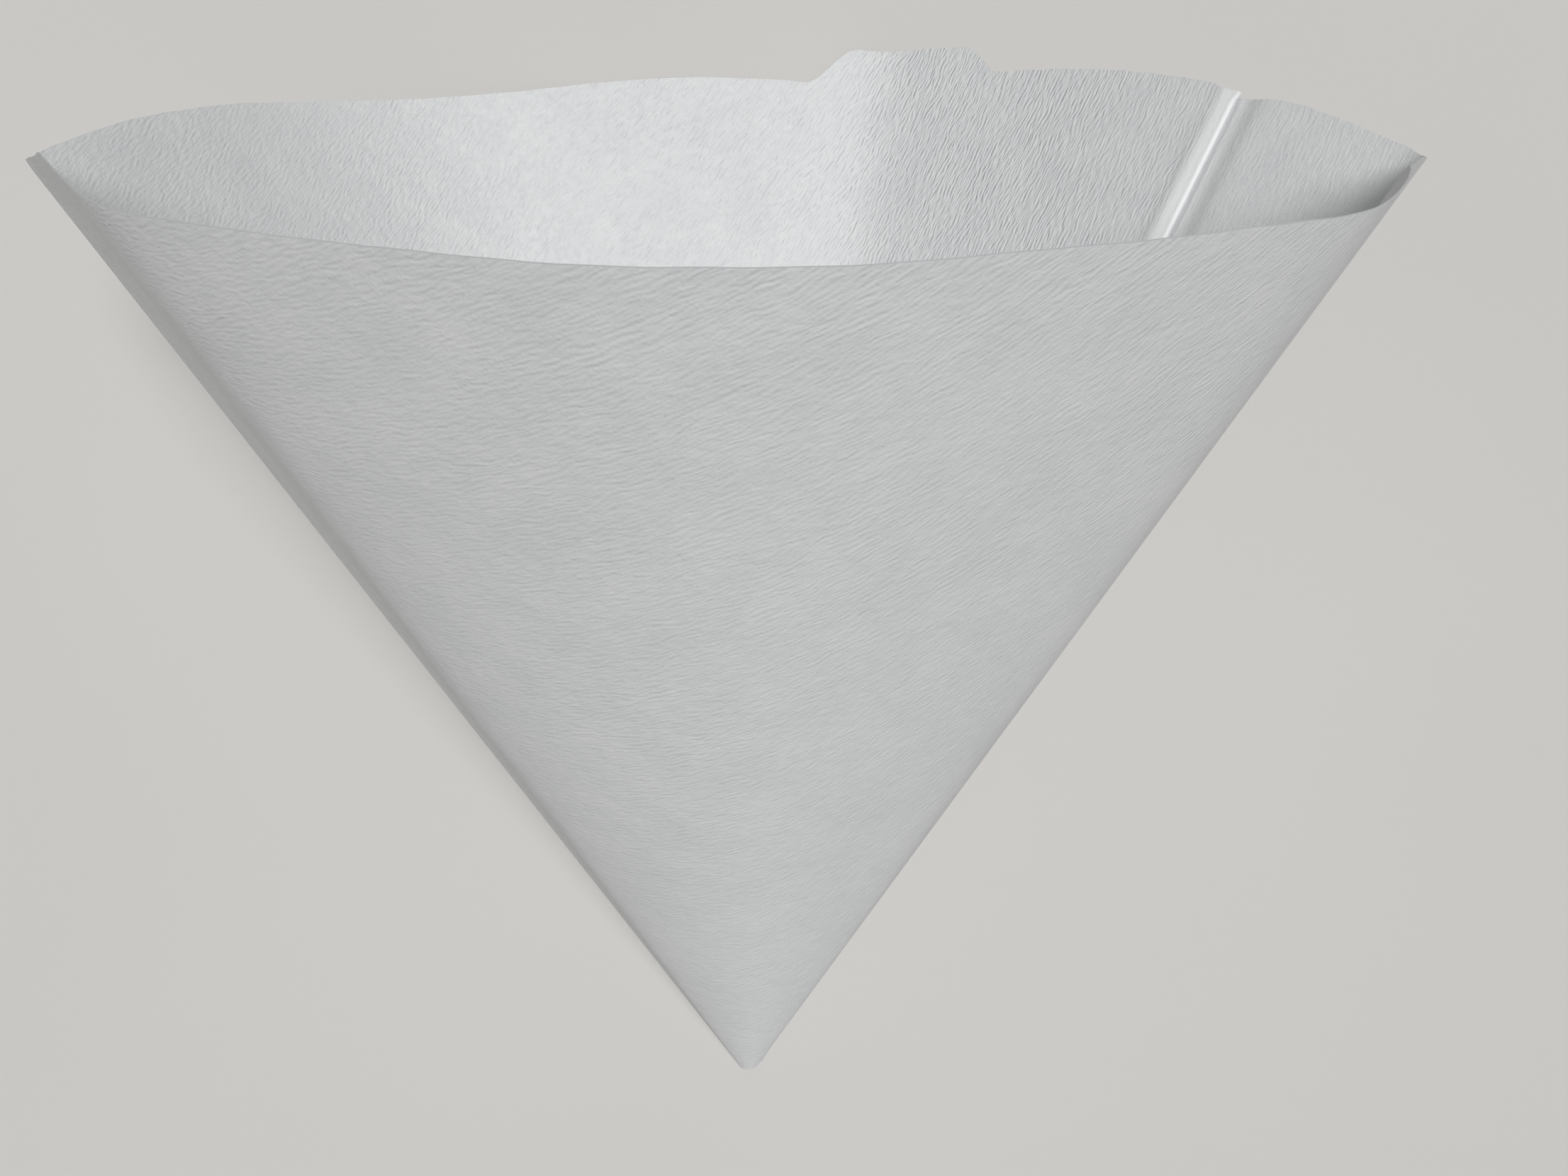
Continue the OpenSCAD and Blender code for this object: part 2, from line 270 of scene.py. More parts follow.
class OpenedCone:
    """The opened cone as a table of directions from the tip, one for each small turn."""

    TABLE_STEP = 0.05
    WALL_STEPS = 240
    DEPTHS = (0.05, 0.6)
    HALVINGS = 24
    SHARP_BLUR = 0.12
    BLUNT_BLUR = 0.75
    BLUNT_REACH = 3.0
    BELL_REACH = 4
    NORMAL_REACH = 4
    TIP_AT = (0.749, -64.46)

    def __init__(self, sizes: SheetSizes) -> None:
        """Solves both walls and the lying pose.

        Args:
            sizes: The sheet's sizes.
        """
        self.sizes = sizes
        self.back = Wall(3.5, -0.44, ((0.3, 0.73),), side=1)
        self.front = Wall(1.9, -0.13, ((-0.7, 0.95), (0.63, 1.0)), side=-1)
        self._solve_table()
        self._solve_lying()

    def _wall_table(self, wall: Wall) -> tuple[float, Array, Array]:
        """Makes a wall just deep enough for a quarter turn of paper, which doesn't stretch.

        Args:
            wall: The wall's bow.

        Returns:
            Its depth, places along it, and the sheet's turn at each place.
        """
        u = np.linspace(-1, 1, self.WALL_STEPS + 1)
        low, high = self.DEPTHS
        for _ in range(self.HALVINGS):
            middle = (low + high) / 2
            if self._turns(wall.points(u, middle))[-1] > self.sizes.wall_turn:
                high = middle
            else:
                low = middle
        depth = (low + high) / 2
        return depth, u, self._turns(wall.points(u, depth))

    @staticmethod
    def _turns(points: Array) -> Array:
        """Returns the turn of the sheet from the first point to each, for unit vectors."""
        steps = np.linalg.norm(np.diff(points, axis=0), axis=1)
        return np.concatenate([[0.0], np.cumsum(np.degrees(2 * np.arcsin(steps / 2)))])

    def _raw_direction(self, turn: Array) -> Array:
        """Works directions out straight from the walls' formulas, with sharp creases.

        Args:
            turn: Turns from the seam, in degrees.

        Returns:
            The directions from the tip, one row for each turn.
        """
        from_crease = (self.sizes.seam_turn - turn) % self.sizes.sheet_turn
        on_back = from_crease <= self.sizes.wall_turn
        on_front = self.sizes.sheet_turn - from_crease
        found = []
        for wall, at in ((self.back, from_crease), (self.front, on_front)):
            depth, u, turns = self._wall_table(wall)
            found.append(wall.points(np.interp(at, turns, u), depth))
        return np.where(on_back[:, None], found[0], found[1])

    def _solve_table(self) -> None:
        """Fills the table: creases rounded as paper rounds them, and the flat stretch plane."""
        s = self.sizes
        count = round(s.sheet_turn / self.TABLE_STEP)
        self.turns = np.arange(count) * self.TABLE_STEP
        raw = self._raw_direction(self.turns)
        blunt_at = (s.seam_turn + s.wall_turn) % s.sheet_turn
        away = np.abs(self.turns - blunt_at)
        bluntness = 1 - smooth(away / self.BLUNT_REACH)
        sharp = self._blurred(raw, self.SHARP_BLUR)
        blunt = self._blurred(raw, self.BLUNT_BLUR)
        table = unit(mix(sharp, blunt, bluntness[:, None]))
        near, far = (self._sample(raw, turn) for turn in (s.flat_from, s.flat_to))
        share = (self.turns - s.flat_from) / (s.flat_to - s.flat_from)
        flat = (share >= 0) & (share <= 1)
        table[flat] = unit(mix(near, far, share[flat, None]))
        ahead = np.roll(table, -self.NORMAL_REACH, axis=0)
        behind = np.roll(table, self.NORMAL_REACH, axis=0)
        self.flat_normal = unit(np.cross(far - near, near))
        normals = unit(np.cross(ahead - behind, table))
        normals[flat] = self.flat_normal
        self.table = table
        self.normals = normals
        self.flat_edges = (near, far)

    def _blurred(self, table: Array, sigma: float) -> Array:
        """Blurs the table along the turn by a bell curve.

        Args:
            table: A row for each turn.
            sigma: The bell curve's width, in degrees.

        Returns:
            The blurred table.
        """
        reach = math.ceil(self.BELL_REACH * sigma / self.TABLE_STEP)
        offsets = np.arange(-reach, reach + 1) * self.TABLE_STEP
        bell = np.exp(-0.5 * (offsets / sigma) ** 2)
        bell /= bell.sum()
        wrapped = np.concatenate([table[-reach:], table, table[:reach]])
        return np.stack([np.convolve(wrapped[:, k], bell, "valid") for k in range(3)], axis=1)

    def _sample(self, table: Array, turn: Array | float) -> Array:
        """Reads the table at any turns, by straight mixing between its entries.

        Args:
            table: A row for each of the table's turns.
            turn: Turns from the seam, in degrees.

        Returns:
            A row for each turn asked for.
        """
        place = (np.asarray(turn, float) % self.sizes.sheet_turn) / self.TABLE_STEP
        low = np.floor(place).astype(int)
        share = (place - low)[..., None]
        count = len(table)
        return mix(table[low % count], table[(low + 1) % count], share)

    def _solve_lying(self) -> None:
        """Turns the flat stretch's normal straight down."""
        near, far = self.flat_edges
        lie_y = unit(near + far)
        lie_x = np.cross(lie_y, -self.flat_normal)
        self.lying = np.stack([lie_x, lie_y, -self.flat_normal])

    def place(self, turn: Array, r: Array, height: Array, stack: Array) -> Array:
        """Places points of the sheet on the table.

        Args:
            turn: Turn from the seam, in degrees.
            r: Distance from the tip, in millimetres.
            height: Height above the wall's inner face, in millimetres, outwards.
            stack: Height of the layers behind the wall there. Where the outermost layer
                would dip below the table, all the layers are pressed up together.

        Returns:
            The points, in millimetres in the part's frame.
        """
        t = self.sizes.thickness
        foot = self._sample(self.table, turn) * r[..., None]
        normal = unit(self._sample(self.normals, turn))
        lowest = t - (foot + (stack + t)[..., None] * normal) @ self.flat_normal
        lying = (foot + height[..., None] * normal) @ self.lying.T
        z = np.maximum(0.0, lying[..., 2] + t - np.minimum(0.0, lowest))
        x, y = lying[..., 0] + self.TIP_AT[0], lying[..., 1] + self.TIP_AT[1]
        return np.stack([x, y, z], axis=-1)

    def upright(self, point: tuple[float, float, float]) -> Vector:
        """Returns where a point of the upright cone's frame is once the cone lies down.

        Args:
            point: X across, Y to the back and Z up the cone, from the tip, in millimetres.

        Returns:
            The point in metres in the part's frame.
        """
        moved = self.lying @ np.array(point) + [*self.TIP_AT, self.sizes.thickness]
        return Vector(moved * MM)

    def upright_turn(self, vector: Array) -> Vector:
        """Returns a direction of the upright cone's frame once the cone lies down."""
        return Vector(self.lying @ vector)


class Dents:
    """Soft unevenness of handled paper: sums of waves over the flat sheet, seeded."""

    WAVES = 14
    SEED = 20
    LENGTHS = (17, 60)
    SIZE = 0.035
    GROWN_R = 70
    RIM_R = 125.0
    RIM_LENGTHS = (14, 50)
    RIM_SIZE = 0.022
    RIM_FROM, RIM_RISE = 92, 34
    STIFF_REACH = 6.0

    def __init__(self, creases: tuple[float, ...]) -> None:
        """Draws the waves' directions, lengths and phases from a fixed seed.

        Args:
            creases: Turns at which a crease keeps the sheet from waving.
        """
        self.creases = creases
        rng = np.random.default_rng(self.SEED)
        angle = rng.uniform(0, math.pi, self.WAVES)
        length = rng.uniform(*self.LENGTHS, self.WAVES)
        self.across = 2 * math.pi / length * np.stack([np.cos(angle), np.sin(angle)])
        self.phase = rng.uniform(0, 2 * math.pi, self.WAVES)
        self.size = length / self.LENGTHS[1] * self.SIZE
        rim_length = rng.uniform(*self.RIM_LENGTHS, self.WAVES)
        self.rim_wave = 2 * math.pi / rim_length
        self.rim_phase = rng.uniform(0, 2 * math.pi, self.WAVES)
        self.rim_size = rim_length / self.RIM_LENGTHS[1] * self.RIM_SIZE

    def depth(self, turn: Array, r: Array) -> Array:
        """Returns how far the sheet stands out of its cone, in millimetres.

        Args:
            turn: Turn from the seam, in degrees.
            r: Distance from the tip, in millimetres.

        Returns:
            The sum of all waves, and near the rim of the rim's own waves as well.
        """
        a = np.radians(turn)[..., None]
        x, y = r[..., None] * np.cos(a), r[..., None] * np.sin(a)
        waves = np.sin(x * self.across[0] + y * self.across[1] + self.phase) * self.size
        along = self.RIM_R * a
        rim = np.sin(along * self.rim_wave + self.rim_phase) * self.rim_size
        near_rim = smooth((r - self.RIM_FROM) / self.RIM_RISE)
        depth = waves.sum(axis=-1) * smooth(r / self.GROWN_R) + near_rim * rim.sum(axis=-1)
        for crease in self.creases:
            depth = depth * (1 - np.exp(-(((turn - crease) / self.STIFF_REACH) ** 2)))
        return depth


class Part(IntEnum):
    """What a column of the grid belongs to."""

    WALL = 0
    LEFT_FADE = 1
    RIGHT_FADE = 2
    FOLD_ARC = 3
    SLOT_ARC = 4
    STRIP_UNDER = 5
    STRIP_OVER = 6


class Column(NamedTuple):
    """A line of the sheet from the tip to the rim.

    Attributes:
        part: What the column belongs to.
        turn: Its own turn.
        mm: Millimetres beside that turn, which are squeezed near the tip.
        share: Share of those millimetres that counts.
        extra: An arc's angle in degrees, or a place across the strip from 0 to 1.
    """

    part: Part
    turn: float
    mm: float = 0.0
    share: float = 1.0
    extra: float = 0.0


@dataclass
class Loop:
    """A closed or open row of columns, kept as arrays."""

    columns: list[Column]
    part: Array = field(init=False)
    turn: Array = field(init=False)
    mm: Array = field(init=False)
    share: Array = field(init=False)
    extra: Array = field(init=False)

    def __post_init__(self) -> None:
        """Spreads the columns' values into arrays."""
        self.part = np.array([int(c.part) for c in self.columns])
        for name in ("turn", "mm", "share", "extra"):
            setattr(self, name, np.array([getattr(c, name) for c in self.columns]))

    def __len__(self) -> int:
        """Returns the number of columns."""
        return len(self.columns)


class SheetMesher:
    """Builds the closed shell of the sheet: its inner face, outer face, rim and blunt tip."""

    def __init__(
        self, sizes: SheetSizes, detail: SheetDetails, cone: OpenedCone, dents: Dents
    ) -> None:
        """Lays out the grid's columns and rows.

        Args:
            sizes: The sheet's sizes.
            detail: The sizes of what only the scene shows.
            cone: The opened cone that the sheet is bent to.
            dents: The sheet's unevenness.
        """
        self.sizes = sizes
        self.detail = detail
        self.cone = cone
        self.dents = dents
        self.wall = Loop(self._wall_columns())
        angles = np.linspace(180, 0, detail.arc_steps + 1)
        self.fold = Loop(self._arc_columns(Part.FOLD_ARC, angles[1:-1]))
        self.slot = Loop(self._arc_columns(Part.SLOT_ARC, angles[:-1]))
        across = np.linspace(0, 1, detail.strip_steps + 1)
        self.over = Loop(self._strip_columns(Part.STRIP_OVER, sizes.sheet_turn, across[1:]))
        self.under = Loop(self._strip_columns(Part.STRIP_UNDER, 0.0, across[:0:-1]))
        self.rows = self._row_places()

    def _wall_columns(self) -> list[Column]:
        """Lays out the columns round the wall, from the fold to the sheet's covered end.

        Knots stand at the tab's corners, the flat stretch's ends and the creases, and the
        columns between two knots are evenly spread.

        Returns:
            The columns in order.
        """
        s, d = self.sizes, self.detail
        shoulder = s.tab_half_base - s.tab_half_top
        tab_near, tab_far = s.tab_turn - s.tab_half_base, s.tab_turn + s.tab_half_base
        crease = s.seam_turn + s.wall_turn
        knots = [tab_near, tab_near + shoulder, tab_far - shoulder, tab_far, s.flat_from]
        knots += [s.flat_to, s.seam_turn - 1.0, s.seam_turn, s.seam_turn + 1.0]
        knots += [crease - before for before in d.before_blunt]
        turns = [tab_near]
        for a, b, finer in zip(knots[:-1], knots[1:], d.finer, strict=True):
            count = max(1, math.ceil((b - a) / d.facet / finer - 1e-6))
            turns += list(np.linspace(a, b, count + 1)[1:])
        gathered = np.linspace(0, 1, d.fade_steps + 1) ** d.fade_power
        fade = s.fold_at + (s.fold_fade - s.fold_at) * gathered
        beside = np.linspace(0, 1, d.beside_steps + 1)[1:-1]
        left = [Column(Part.LEFT_FADE, 0, w) for w in fade]
        near = [Column(Part.WALL, tab_near * f, s.fold_fade, 1 - f) for f in beside]
        wall = [Column(Part.WALL, turn) for turn in turns]
        last = [Column(Part.WALL, mix(crease, s.sheet_turn, f), -s.fold_fade, f) for f in beside]
        right = [Column(Part.RIGHT_FADE, s.sheet_turn, -w) for w in fade[::-1]]
        end = [Column(Part.RIGHT_FADE, s.sheet_turn, w) for w in (*d.under_fold, s.fold_at)]
        return left + near + wall + last + right + end

    @staticmethod
    def _arc_columns(part: Part, angles: Array) -> list[Column]:
        """Returns the columns of an arc of the rolled fold."""
        return [Column(part, 0.0, extra=float(a)) for a in angles]

    @staticmethod
    def _strip_columns(part: Part, turn: float, across: Array) -> list[Column]:
        """Returns the columns across one face of the folded strip."""
        return [Column(part, turn, extra=float(f)) for f in across]

    def _row_places(self) -> Array:
        """Returns the rows' places, evenly from 0 at the tip to 1 at the rim.

        Their step is half the crimp's pitch, so that every ridge gets its top and its foot.
        """
        reach = self.sizes.radius - self.sizes.tip_r
        return np.linspace(0, 1, round(reach / self.detail.row_step) + 1)

    def _squeeze(self, mm: Array, r: Array, room: Array | float) -> Array:
        """Turns millimetres beside a column into turn, which never passes the room for it.

        Args:
            mm: Millimetres beside the column, signed.
            r: Distance from the tip.
            room: The most turn that they may take, which tells near the tip.

        Returns:
            The turn in degrees, signed.
        """
        full = turn_of(np.abs(mm), r)
        return np.sign(mm) * room * (1 - np.exp(-full / room))

    def _rim(self, turn: Array) -> Array:
        """Works out the rim: the tab and the seam's step, dips and bumps on a circle.

        Args:
            turn: Turns from the seam, in degrees.

        Returns:
            The rim's distance from the tip at each turn.
        """
        s, d = self.sizes, self.detail
        rise = (s.tab_half_base - np.abs(turn - s.tab_turn)) / (s.tab_half_base - s.tab_half_top)
        fade = turn_of(2 * s.fold_fade, s.radius)
        step = s.seam_step * smooth(1 - (s.sheet_turn - turn) / fade)
        bump_h, bump_at, bump_reach = d.corner_bump
        past_corner = turn - (s.seam_turn + s.wall_turn)
        bump = bump_h * np.exp(-(((past_corner - bump_at) / bump_reach) ** 2))
        dip_h, dip_end, dip_fade = d.seam_dip
        dip = dip_h * smooth((dip_end - turn) / dip_fade)
        for middle, depth, reach in d.worn:
            dip = dip + depth * smooth(1 - np.abs(turn - middle) / reach)
        ragged = sum(size * np.sin(turn * pace + phase) for size, pace, phase in d.rags)
        across_tab = np.clip((turn - s.tab_turn) / s.tab_half_top, -1, 1)
        tab = s.tab_h * smooth(rise) * (1 + d.tab_tilt * across_tab)
        return s.radius + tab - step - dip + bump + ragged

    def _roll(self, away: Array, r: Array) -> Array:
        """Works out how far the seam's roll stands proud inside.

        It rises over its flank to a crest and falls again towards its edge, and it is pinched
        at the rim and fuller below.

        Args:
            away: Distance from the roll's edge.
            r: Distance from the tip.

        Returns:
            The height in millimetres, inwards.
        """
        d = self.detail
        fuller = smooth((self.sizes.radius - r) / d.crest_reach)
        crest = d.crest_h * (1 + d.crest_growth * fuller)
        inner = mix(d.roll_edge, crest, smooth(away / d.crest_at))
        flank = crest * (1 - smooth((away - d.crest_at) / d.crest_flank))
        return np.where(away < d.crest_at, inner, flank)

    def _heights(self, loop: Loop, r: Array, w: Array) -> Array:
        """Returns the heights of a loop's columns above the cone, before any dents.

        Args:
            loop: The columns.
            r: Distance from the tip of each point, rows by columns.
            w: Millimetres beside the seam of each point.

        Returns:
            Heights in millimetres, outwards.
        """
        s, d = self.sizes, self.detail
        bulge = d.roll_edge
        left = -self._roll(np.abs(w) - s.fold_at, r)
        right = s.strip_stack * (1 - smooth((-w - s.fold_at) / s.fold_fade))
        angle = np.radians(loop.extra)[None, :]
        fold = -bulge + (s.strip_stack + bulge) / 2 * (1 - np.cos(angle))
        slot = -bulge + (s.strip_gap + bulge) / 2 * (1 - np.cos(angle))
        band_from, band_to = d.ridge_band
        band = smooth((loop.extra - band_from) / d.ridge_fade)
        band = band * smooth((band_to - loop.extra) / d.ridge_fade)
        even_r = mix(s.tip_r, s.radius, self.rows)[:, None]
        wave = 0.5 - 0.5 * np.cos(2 * math.pi * even_r / s.crimp_pitch)
        ridges = s.crimp_h * wave * band[None, :] * smooth((r - d.ridge_from) / d.ridge_rise)
        table = {
            Part.LEFT_FADE: left,
            Part.RIGHT_FADE: right,
            Part.FOLD_ARC: fold,
            Part.SLOT_ARC: slot,
            Part.STRIP_UNDER: np.full_like(r, s.strip_gap),
            Part.STRIP_OVER: s.strip_stack + ridges,
        }
        height = np.zeros_like(r)
        for part, values in table.items():
            height = np.where(loop.part[None, :] == part, values, height)
        return height

    def _widths(self, loop: Loop, r: Array) -> Array:
        """Works out the millimetres beside the seam, where arcs swing out and the ear turns over.

        Args:
            loop: The columns.
            r: Distance from the tip of each point, rows by columns.

        Returns:
            The millimetres beside the seam of each point, rows by columns.
        """
        s, d = self.sizes, self.detail
        bulge = d.roll_edge
        sine = np.sin(np.radians(loop.extra))[None, :]
        fold = s.fold_at - (s.strip_stack + bulge) / 2 * sine
        slot = s.fold_at - (s.strip_gap + bulge) / 2 * sine
        strip = mix(s.fold_at, s.strip_w, loop.extra)[None, :] + np.zeros_like(r)
        width = np.where(loop.part[None, :] == Part.FOLD_ARC, fold, loop.mm[None, :])
        width = np.where(loop.part[None, :] == Part.SLOT_ARC, slot, width)
        on_strip = np.isin(loop.part, (Part.STRIP_UNDER, Part.STRIP_OVER))
        width = np.where(on_strip[None, :], strip, width)
        ear = d.ear * smooth((r - s.radius + d.ear_h) / d.ear_h)
        rolled = np.isin(loop.part, (Part.FOLD_ARC, Part.SLOT_ARC, Part.LEFT_FADE))
        near_fold = np.exp(-(((width - s.fold_at) / d.ear_reach) ** 2))
        return width - np.where(rolled[None, :], ear * near_fold, 0.0)

    def _stack(self, turn: Array, r: Array) -> Array:
        """Works out the height of the layers behind the wall, which fades out beside them.

        Args:
            turn: Turns from the seam, in degrees.
            r: Distance from the tip of each point.

        Returns:
            The height of the layers at each point.
        """
        s = self.sizes
        t = np.where(turn > s.wall_turn, turn - s.sheet_turn, turn)
        edge = self._squeeze(np.full_like(r, s.strip_w), r, s.strip_room)
        beyond = np.maximum(0.0, np.maximum(-t, t - edge))
        return s.strip_stack * smooth(1 - beyond / s.stack_fade)

    def grid(self, loop: Loop, above: float, base: float | None = None) -> tuple[Array, Array]:
        """Works out the points of a loop's columns in every row.

        Args:
            loop: The columns.
            above: The paper's thickness for an outer face, or 0 for an inner face.
            base: A distance from the tip that the first row is put at instead, or None.

        Returns:
            The points in millimetres and their places on the flat sheet in millimetres, both
            rows by columns.
        """
        s, d = self.sizes, self.detail
        room = np.full(len(loop), s.fold_room)
        on_strip = np.isin(loop.part, (Part.STRIP_UNDER, Part.STRIP_OVER))
        room = np.where(on_strip, mix(s.fold_room, s.strip_room, loop.extra), room)[None, :]
        q = self.rows[:, None]
        r = mix(s.tip_r, s.radius, q) + np.zeros((1, len(loop)))
        for _ in range(2):
            w = self._widths(loop, r)
            turn = loop.turn[None, :] + loop.share[None, :] * self._squeeze(w, r, room)
            r = mix(s.tip_r, self._rim(turn), q)
            if base is not None:
                r = np.maximum(r, base)
        pressed = (1 - d.edge_share) * smooth((r - self._rim(turn) + d.edge_w) / d.edge_w)
        front = smooth(turn - s.seam_turn) * smooth(s.seam_turn + s.wall_turn - turn)
        thinner = above * (1 - pressed * (1 - front)) + (s.thickness - above) * pressed * front
        height = self._heights(loop, r, w) + thinner
        stack = self._stack(turn, r)
        level = self.cone.place(turn, r, height, stack)[..., 2]
        calm_from = s.sheet_turn - d.calm_turn
        free = smooth((level - d.free_level) / d.free_rise)
        free = free * smooth((turn - d.calm_turn) / d.calm_rise)
        free = free * smooth((calm_from - turn) / d.calm_rise)
        height = height + self.dents.depth(turn, r) * free
        points = self.cone.place(turn, r, height, stack)
        a = np.radians(turn)
        flat = np.stack([r * np.cos(a), r * np.sin(a)], axis=-1)
        return points, flat


class PaperSlot(IntEnum):
    """Numbers of the sheet's materials."""

    WALL = 0
    CRIMP = 1
    EDGE = 2


class ShellTopology:
    """Numbers the points of the shell's rows and joins them with faces, without point loops."""

    def __init__(self, mesher: SheetMesher) -> None:
        """Builds points, flat places, faces and material numbers.

        Args:
            mesher: The mesher that gives the points of each loop.
        """
        t = mesher.sizes.thickness
        floor_r = mesher.sizes.tip_r + mesher.sizes.plug
        self.points: list[Array] = []
        self.flats: list[Array] = []
        self.quads: list[Array] = []
        self.tris: list[Array] = []
        self.count = 0
        under = self._add(mesher, mesher.under, t)
        slot = self._add(mesher, mesher.slot, t)
        outer = self._add(mesher, mesher.wall, t)
        over = self._add(mesher, mesher.over, t)
        inner = self._add(mesher, mesher.wall, 0.0, floor_r)
        fold = self._add(mesher, mesher.fold, 0.0, floor_r)
        base_wall = self._add_row(mesher, mesher.wall)
        base_fold = self._add_row(mesher, mesher.fold)
        outside = np.hstack([under, slot, outer, over])
        inside = np.hstack([inner, fold])
        self._skin(outside)
        self._recolour_strip(len(mesher.under) + len(mesher.slot), len(mesher.over), outside)
        self._skin(inside[:, ::-1])
        rim = [v[-1] for v in (under, slot, outer, over, inner, fold)]
        base = [under[0], slot[0], outer[0], over[0], base_wall, base_fold]
        self._cut_edge(*rim, flip=False)
        self._cut_edge(*base, flip=True)
        arc_hidden = mesher.detail.arc_steps // 2 - 1
        self._cap(np.concatenate([inner[0], fold[0]]), len(inner[0]), arc_hidden, False)
        self._cap(np.concatenate([base_wall, base_fold]), len(base_wall), arc_hidden, True)

    def _add(
        self, mesher: SheetMesher, loop: Loop, above: float, base: float | None = None
    ) -> Array:
        """Adds a loop's grid of points.

        Args:
            mesher: The mesher that gives the points.
            loop: The columns.
            above: The paper's thickness for an outer face, or 0 for an inner face.
            base: A distance from the tip that the first row is put at instead, or None.

        Returns:
            The points' numbers, rows by columns.
        """
        points, flat = mesher.grid(loop, above, base)
        numbers = self.count + np.arange(points.shape[0] * points.shape[1])
        self.points.append(points.reshape(-1, 3))
        self.flats.append(flat.reshape(-1, 2))
        self.count += len(numbers)
        return numbers.reshape(points.shape[:2])

    def _add_row(self, mesher: SheetMesher, loop: Loop) -> Array:
        """Adds the row that closes the blunt tip outside.

        Args:
            mesher: The mesher that gives the points.
            loop: The columns.

        Returns:
            The points' numbers.
        """
        points, flat = mesher.grid(loop, 0.0)
        numbers = self.count + np.arange(points.shape[1])
        self.points.append(points[0])
        self.flats.append(flat[0])
        self.count += len(numbers)
        return numbers

    def _skin(self, ring: Array) -> None:
        """Adds the faces between the neighbouring columns and rows of a closed ring.

        Args:
            ring: Numbers of the points, rows by columns.
        """
        after = np.roll(ring, -1, axis=1)
        quads = np.stack([ring[:-1], after[:-1], after[1:], ring[1:]], axis=-1).reshape(-1, 4)
        self.quads.append(np.column_stack([quads, np.full(len(quads), PaperSlot.WALL)]))

    def _recolour_strip(self, before: int, after: int, ring: Array) -> None:
        """Gives the strip's two faces and the slot the crimped material.

        Args:
            before: Number of the strip's and the slot's columns before the wall's.
            after: Number of the strip's columns after them.
            ring: The outer ring, whose faces were the last to be added.
        """
        columns = ring.shape[1]
        place = np.arange((ring.shape[0] - 1) * columns) % columns
        crimped = (place < before) | (place >= columns - after - 1)
        self.quads[-1][crimped, 4] = PaperSlot.CRIMP

    def _cut_edge(
        self,
        under: Array,
        slot: Array,
        outer: Array,
        over: Array,
        inner: Array,
        fold: Array,
        flip: bool,
    ) -> None:
        """Adds the cut edge of the paper, between the outer and the inner row.

        Args:
            under: The row's points on the strip's face towards the wall.
            slot: Its points round the slot.
            outer: Its points on the wall's outer face.
            over: Its points on the strip's face away from the wall.
            inner: Its points on the wall's inner face.
            fold: Its points round the rolled fold.
            flip: Whether the edge faces the tip instead of the rim.
        """
        outside = np.concatenate([slot, outer])
        inside = np.concatenate([inner[-1:], fold, inner])
        quads = np.stack([outside[:-1], outside[1:], inside[1:], inside[:-1]], axis=-1)
        over_row = np.concatenate([outer[-1:], over])
        under_row = np.concatenate([slot[:1], under[::-1]])
        strip = np.stack([over_row[:-1], over_row[1:], under_row[1:], under_row[:-1]], axis=-1)
        quads = np.vstack([quads, strip])
        tri = np.array([[slot[0], inner[-1], outer[-1]]])
        if flip:
            quads, tri = quads[:, ::-1], tri[:, ::-1]
        edge = np.full((len(quads), 1), PaperSlot.EDGE)
        self.quads.append(np.hstack([quads, edge]))
        self.tris.append(np.hstack([tri, [[PaperSlot.EDGE]]]))

    def _cap(self, ring: Array, wall_n: int, hidden: int, flip: bool) -> None:
        """Closes the tip with a fan, and the pocket behind the fold with a small one.

        Args:
            ring: The row's points on the wall and then on the fold.
            wall_n: How many of them are on the wall.
            hidden: How many of the fold's are hidden behind it.
            flip: Whether the fan faces the tip instead of the rim.
        """
        middle = self._middle(ring)
        first = wall_n + hidden
        seen = np.concatenate([ring[first:], ring[: wall_n - 1], ring[first : first + 1]])
        pocket = ring[wall_n - 1 : first + 1]
        for centre, line in ((middle, seen), (ring[wall_n - 2], pocket)):
            fan = np.stack([np.full(len(line) - 1, centre), line[1:], line[:-1]], axis=-1)
            fan = fan[:, ::-1] if flip else fan
            slot = np.full((len(fan), 1), PaperSlot.EDGE)
            self.tris.append(np.hstack([fan, slot]))

    def _middle(self, ring: Array) -> int:
        """Adds the mean point of a ring.

        Args:
            ring: Numbers of the ring's points.

        Returns:
            The new point's number.
        """
        points, flats = np.concatenate(self.points), np.concatenate(self.flats)
        self.points.append(points[ring].mean(axis=0)[None])
        self.flats.append(flats[ring].mean(axis=0)[None])
        self.count += 1
        return self.count - 1


